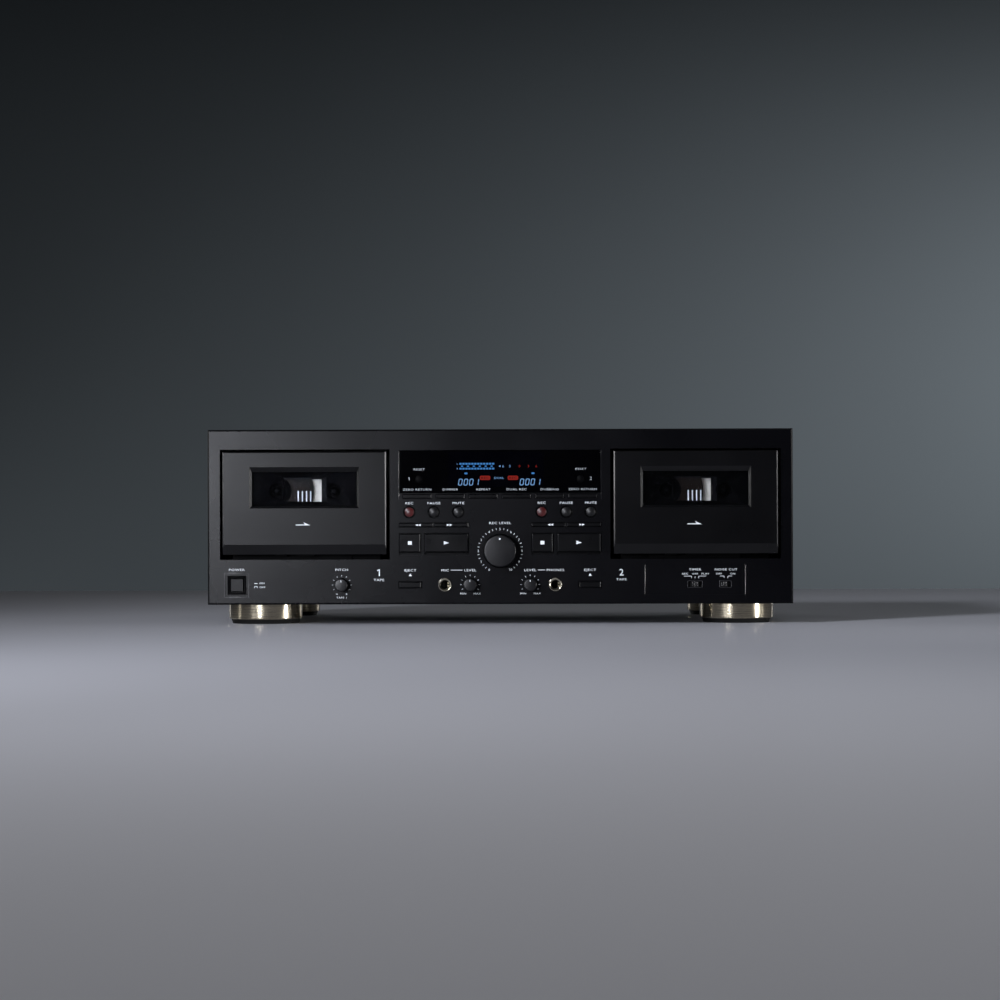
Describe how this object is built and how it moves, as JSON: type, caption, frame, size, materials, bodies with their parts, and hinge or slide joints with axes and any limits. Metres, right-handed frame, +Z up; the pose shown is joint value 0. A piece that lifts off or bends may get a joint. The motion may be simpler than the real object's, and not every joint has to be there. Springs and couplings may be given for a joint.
{
  "type": "double cassette deck",
  "caption": "Full-width hi-fi double cassette deck: two tilting cassette doors, display, transport keys, level knobs, jacks and round metal feet; plays and records tapes.",
  "frame": {"origin": "middle of the deck's outline on the surface that it stands on", "axes": "+X to the viewer's right, the front faces -Y, +Z up"},
  "size_m": [0.435, 0.286, 0.145],
  "materials": {
    "panel_black": "satin black anodised front panel",
    "door_black": "satin black moulded door",
    "case_black": "fine textured black paint on folded steel",
    "chassis_steel": "zinc plated sheet",
    "frame_steel": "zinc plated sheet",
    "foot_champagne": "fine turned champagne metal",
    "foot_rubber": "black pad",
    "display_black": "gloss black display window",
    "circuit_board": "solder mask",
    "socket_metal": "nickel plated",
    "motor_steel": "plated can",
    "screw_black": "black zinc",
    "key_black": "satin black moulded",
    "key_red": "dark red moulded",
    "slider_black": "matt black moulded",
    "knob_black": "satin black turned",
    "window_smoke": "clear smoked window",
    "holder_black": "matt black moulded",
    "spindle_black": "moulded",
    "flywheel_steel": "turned",
    "carriage_steel": "plated",
    "roller_rubber": "ground rubber"
  },
  "bodies": {
    "deck": {"front_panel": "panel_black", "top_cover": "case_black", "chassis": "chassis_steel", "rear_panel": "case_black", "foot_rings": "foot_champagne", "foot_pads": "foot_rubber", "display_window": "display_black", "control_board": "circuit_board", "sockets": "socket_metal", "main_board": "circuit_board", "transport_frames": "frame_steel", "belt_drives": "motor_steel", "case_screws": "screw_black"},
    "door_1": {"door_1": "door_black", "door_window_1": "window_smoke", "cassette_holder_1": "holder_black"},
    "door_2": {"door_2": "door_black", "door_window_2": "window_smoke", "cassette_holder_2": "holder_black"},
    "power_button": {"power_button": "key_black"},
    "rec_level_knob": {"rec_level_knob": "knob_black"},
    "mic_level_knob": {"mic_level_knob": "knob_black"},
    "phones_level_knob": {"phones_level_knob": "knob_black"},
    "pitch_knob": {"pitch_knob": "knob_black"},
    "timer_switch": {"timer_switch": "slider_black"},
    "noise_reduction_switch": {"noise_reduction_switch": "slider_black"},
    "return_to_zero_button_1": {"return_to_zero_button_1": "key_black"},
    "dimmer_button": {"dimmer_button": "key_black"},
    "repeat_button": {"repeat_button": "key_black"},
    "parallel_rec_button": {"parallel_rec_button": "key_black"},
    "dub_start_button": {"dub_start_button": "key_black"},
    "return_to_zero_button_2": {"return_to_zero_button_2": "key_black"},
    "record_button_1": {"record_button_1": "key_red"},
    "pause_button_1": {"pause_button_1": "key_black"},
    "rec_mute_button_1": {"rec_mute_button_1": "key_black"},
    "rewind_button_1": {"rewind_button_1": "key_black"},
    "fast_forward_button_1": {"fast_forward_button_1": "key_black"},
    "stop_button_1": {"stop_button_1": "key_black"},
    "play_button_1": {"play_button_1": "key_black"},
    "eject_button_1": {"eject_button_1": "key_black"},
    "counter_reset_button_1": {"counter_reset_button_1": "key_black"},
    "supply_spindle_1": {"supply_spindle_1": "spindle_black"},
    "take_up_spindle_1": {"take_up_spindle_1": "spindle_black"},
    "flywheel_1": {"flywheel_1": "flywheel_steel"},
    "head_carriage_1": {"head_carriage_1": "carriage_steel"},
    "pinch_roller_1": {"pinch_roller_1": "roller_rubber"},
    "record_button_2": {"record_button_2": "key_red"},
    "pause_button_2": {"pause_button_2": "key_black"},
    "rec_mute_button_2": {"rec_mute_button_2": "key_black"},
    "rewind_button_2": {"rewind_button_2": "key_black"},
    "fast_forward_button_2": {"fast_forward_button_2": "key_black"},
    "stop_button_2": {"stop_button_2": "key_black"},
    "play_button_2": {"play_button_2": "key_black"},
    "eject_button_2": {"eject_button_2": "key_black"},
    "counter_reset_button_2": {"counter_reset_button_2": "key_black"},
    "supply_spindle_2": {"supply_spindle_2": "spindle_black"},
    "take_up_spindle_2": {"take_up_spindle_2": "spindle_black"},
    "flywheel_2": {"flywheel_2": "flywheel_steel"},
    "head_carriage_2": {"head_carriage_2": "carriage_steel"},
    "pinch_roller_2": {"pinch_roller_2": "roller_rubber"}
  },
  "joints": [
    {"name": "door_1_swing", "type": "hinge", "parent": "deck", "child": "door_1", "pos_m": [-0.1452, -0.125, 0.057], "axis": [1, 0, 0], "range_deg": [0, 25]},
    {"name": "door_2_swing", "type": "hinge", "parent": "deck", "child": "door_2", "pos_m": [0.1452, -0.125, 0.057], "axis": [1, 0, 0], "range_deg": [0, 25]},
    {"name": "power_press", "type": "slide", "parent": "deck", "child": "power_button", "axis": [0, 1, 0], "range_m": [-0.0035, 0.001]},
    {"name": "rec_level_turn", "type": "hinge", "parent": "deck", "child": "rec_level_knob", "pos_m": [0, -0.129, 0.0546], "axis": [0, 1, 0], "range_deg": [-150, 150]},
    {"name": "mic_level_turn", "type": "hinge", "parent": "deck", "child": "mic_level_knob", "pos_m": [-0.0223, -0.129, 0.0295], "axis": [0, 1, 0], "range_deg": [-150, 150]},
    {"name": "phones_level_turn", "type": "hinge", "parent": "deck", "child": "phones_level_knob", "pos_m": [0.0223, -0.129, 0.0295], "axis": [0, 1, 0], "range_deg": [-150, 150]},
    {"name": "pitch_turn", "type": "hinge", "parent": "deck", "child": "pitch_knob", "pos_m": [-0.1178, -0.129, 0.0295], "axis": [0, 1, 0], "range_deg": [-150, 150]},
    {"name": "timer_slide", "type": "slide", "parent": "deck", "child": "timer_switch", "axis": [1, 0, 0], "range_m": [-0.00215, 0.00215]},
    {"name": "noise_reduction_slide", "type": "slide", "parent": "deck", "child": "noise_reduction_switch", "axis": [1, 0, 0], "range_m": [0, 0.00215]},
    {"name": "return_to_zero_1_press", "type": "slide", "parent": "deck", "child": "return_to_zero_button_1", "axis": [0, 1, 0], "range_m": [0, 0.001], "stiffness_N_per_m": 800},
    {"name": "dimmer_press", "type": "slide", "parent": "deck", "child": "dimmer_button", "axis": [0, 1, 0], "range_m": [0, 0.001], "stiffness_N_per_m": 800},
    {"name": "repeat_press", "type": "slide", "parent": "deck", "child": "repeat_button", "axis": [0, 1, 0], "range_m": [0, 0.001], "stiffness_N_per_m": 800},
    {"name": "parallel_rec_press", "type": "slide", "parent": "deck", "child": "parallel_rec_button", "axis": [0, 1, 0], "range_m": [0, 0.001], "stiffness_N_per_m": 800},
    {"name": "dub_start_press", "type": "slide", "parent": "deck", "child": "dub_start_button", "axis": [0, 1, 0], "range_m": [0, 0.001], "stiffness_N_per_m": 800},
    {"name": "return_to_zero_2_press", "type": "slide", "parent": "deck", "child": "return_to_zero_button_2", "axis": [0, 1, 0], "range_m": [0, 0.001], "stiffness_N_per_m": 800},
    {"name": "record_press_1", "type": "slide", "parent": "deck", "child": "record_button_1", "axis": [0, 1, 0], "range_m": [0, 0.001], "stiffness_N_per_m": 800},
    {"name": "pause_press_1", "type": "slide", "parent": "deck", "child": "pause_button_1", "axis": [0, 1, 0], "range_m": [0, 0.001], "stiffness_N_per_m": 800},
    {"name": "rec_mute_press_1", "type": "slide", "parent": "deck", "child": "rec_mute_button_1", "axis": [0, 1, 0], "range_m": [0, 0.001], "stiffness_N_per_m": 800},
    {"name": "rewind_press_1", "type": "slide", "parent": "deck", "child": "rewind_button_1", "axis": [0, 1, 0], "range_m": [0, 0.001], "stiffness_N_per_m": 800},
    {"name": "fast_forward_press_1", "type": "slide", "parent": "deck", "child": "fast_forward_button_1", "axis": [0, 1, 0], "range_m": [0, 0.001], "stiffness_N_per_m": 800},
    {"name": "stop_press_1", "type": "slide", "parent": "deck", "child": "stop_button_1", "axis": [0, 1, 0], "range_m": [0, 0.001], "stiffness_N_per_m": 800},
    {"name": "play_press_1", "type": "slide", "parent": "deck", "child": "play_button_1", "axis": [0, 1, 0], "range_m": [0, 0.001], "stiffness_N_per_m": 800},
    {"name": "eject_press_1", "type": "slide", "parent": "deck", "child": "eject_button_1", "axis": [0, 1, 0], "range_m": [0, 0.001], "stiffness_N_per_m": 800},
    {"name": "counter_reset_press_1", "type": "slide", "parent": "deck", "child": "counter_reset_button_1", "axis": [0, 1, 0], "range_m": [0, 0.001], "stiffness_N_per_m": 800},
    {"name": "supply_spindle_spin_1", "type": "hinge", "parent": "deck", "child": "supply_spindle_1", "pos_m": [-0.16645, -0.115, 0.0995], "axis": [0, 1, 0], "continuous": true},
    {"name": "take_up_spindle_spin_1", "type": "hinge", "parent": "deck", "child": "take_up_spindle_1", "pos_m": [-0.12395, -0.115, 0.0995], "axis": [0, 1, 0], "continuous": true},
    {"name": "flywheel_spin_1", "type": "hinge", "parent": "deck", "child": "flywheel_1", "pos_m": [-0.1267, -0.099, 0.0745], "axis": [0, 1, 0], "continuous": true},
    {"name": "head_rise_1", "type": "slide", "parent": "deck", "child": "head_carriage_1", "axis": [0, 0, 1], "range_m": [0, 0.008]},
    {"name": "pinch_roller_spin_1", "type": "hinge", "parent": "head_carriage_1", "child": "pinch_roller_1", "pos_m": [-0.1267, -0.121, 0.05875], "axis": [0, 1, 0], "continuous": true},
    {"name": "record_press_2", "type": "slide", "parent": "deck", "child": "record_button_2", "axis": [0, 1, 0], "range_m": [0, 0.001], "stiffness_N_per_m": 800},
    {"name": "pause_press_2", "type": "slide", "parent": "deck", "child": "pause_button_2", "axis": [0, 1, 0], "range_m": [0, 0.001], "stiffness_N_per_m": 800},
    {"name": "rec_mute_press_2", "type": "slide", "parent": "deck", "child": "rec_mute_button_2", "axis": [0, 1, 0], "range_m": [0, 0.001], "stiffness_N_per_m": 800},
    {"name": "rewind_press_2", "type": "slide", "parent": "deck", "child": "rewind_button_2", "axis": [0, 1, 0], "range_m": [0, 0.001], "stiffness_N_per_m": 800},
    {"name": "fast_forward_press_2", "type": "slide", "parent": "deck", "child": "fast_forward_button_2", "axis": [0, 1, 0], "range_m": [0, 0.001], "stiffness_N_per_m": 800},
    {"name": "stop_press_2", "type": "slide", "parent": "deck", "child": "stop_button_2", "axis": [0, 1, 0], "range_m": [0, 0.001], "stiffness_N_per_m": 800},
    {"name": "play_press_2", "type": "slide", "parent": "deck", "child": "play_button_2", "axis": [0, 1, 0], "range_m": [0, 0.001], "stiffness_N_per_m": 800},
    {"name": "eject_press_2", "type": "slide", "parent": "deck", "child": "eject_button_2", "axis": [0, 1, 0], "range_m": [0, 0.001], "stiffness_N_per_m": 800},
    {"name": "counter_reset_press_2", "type": "slide", "parent": "deck", "child": "counter_reset_button_2", "axis": [0, 1, 0], "range_m": [0, 0.001], "stiffness_N_per_m": 800},
    {"name": "supply_spindle_spin_2", "type": "hinge", "parent": "deck", "child": "supply_spindle_2", "pos_m": [0.12395, -0.115, 0.0995], "axis": [0, 1, 0], "continuous": true},
    {"name": "take_up_spindle_spin_2", "type": "hinge", "parent": "deck", "child": "take_up_spindle_2", "pos_m": [0.16645, -0.115, 0.0995], "axis": [0, 1, 0], "continuous": true},
    {"name": "flywheel_spin_2", "type": "hinge", "parent": "deck", "child": "flywheel_2", "pos_m": [0.1637, -0.099, 0.0745], "axis": [0, 1, 0], "continuous": true},
    {"name": "head_rise_2", "type": "slide", "parent": "deck", "child": "head_carriage_2", "axis": [0, 0, 1], "range_m": [0, 0.008]},
    {"name": "pinch_roller_spin_2", "type": "hinge", "parent": "head_carriage_2", "child": "pinch_roller_2", "pos_m": [0.1637, -0.121, 0.05875], "axis": [0, 1, 0], "continuous": true}
  ]
}
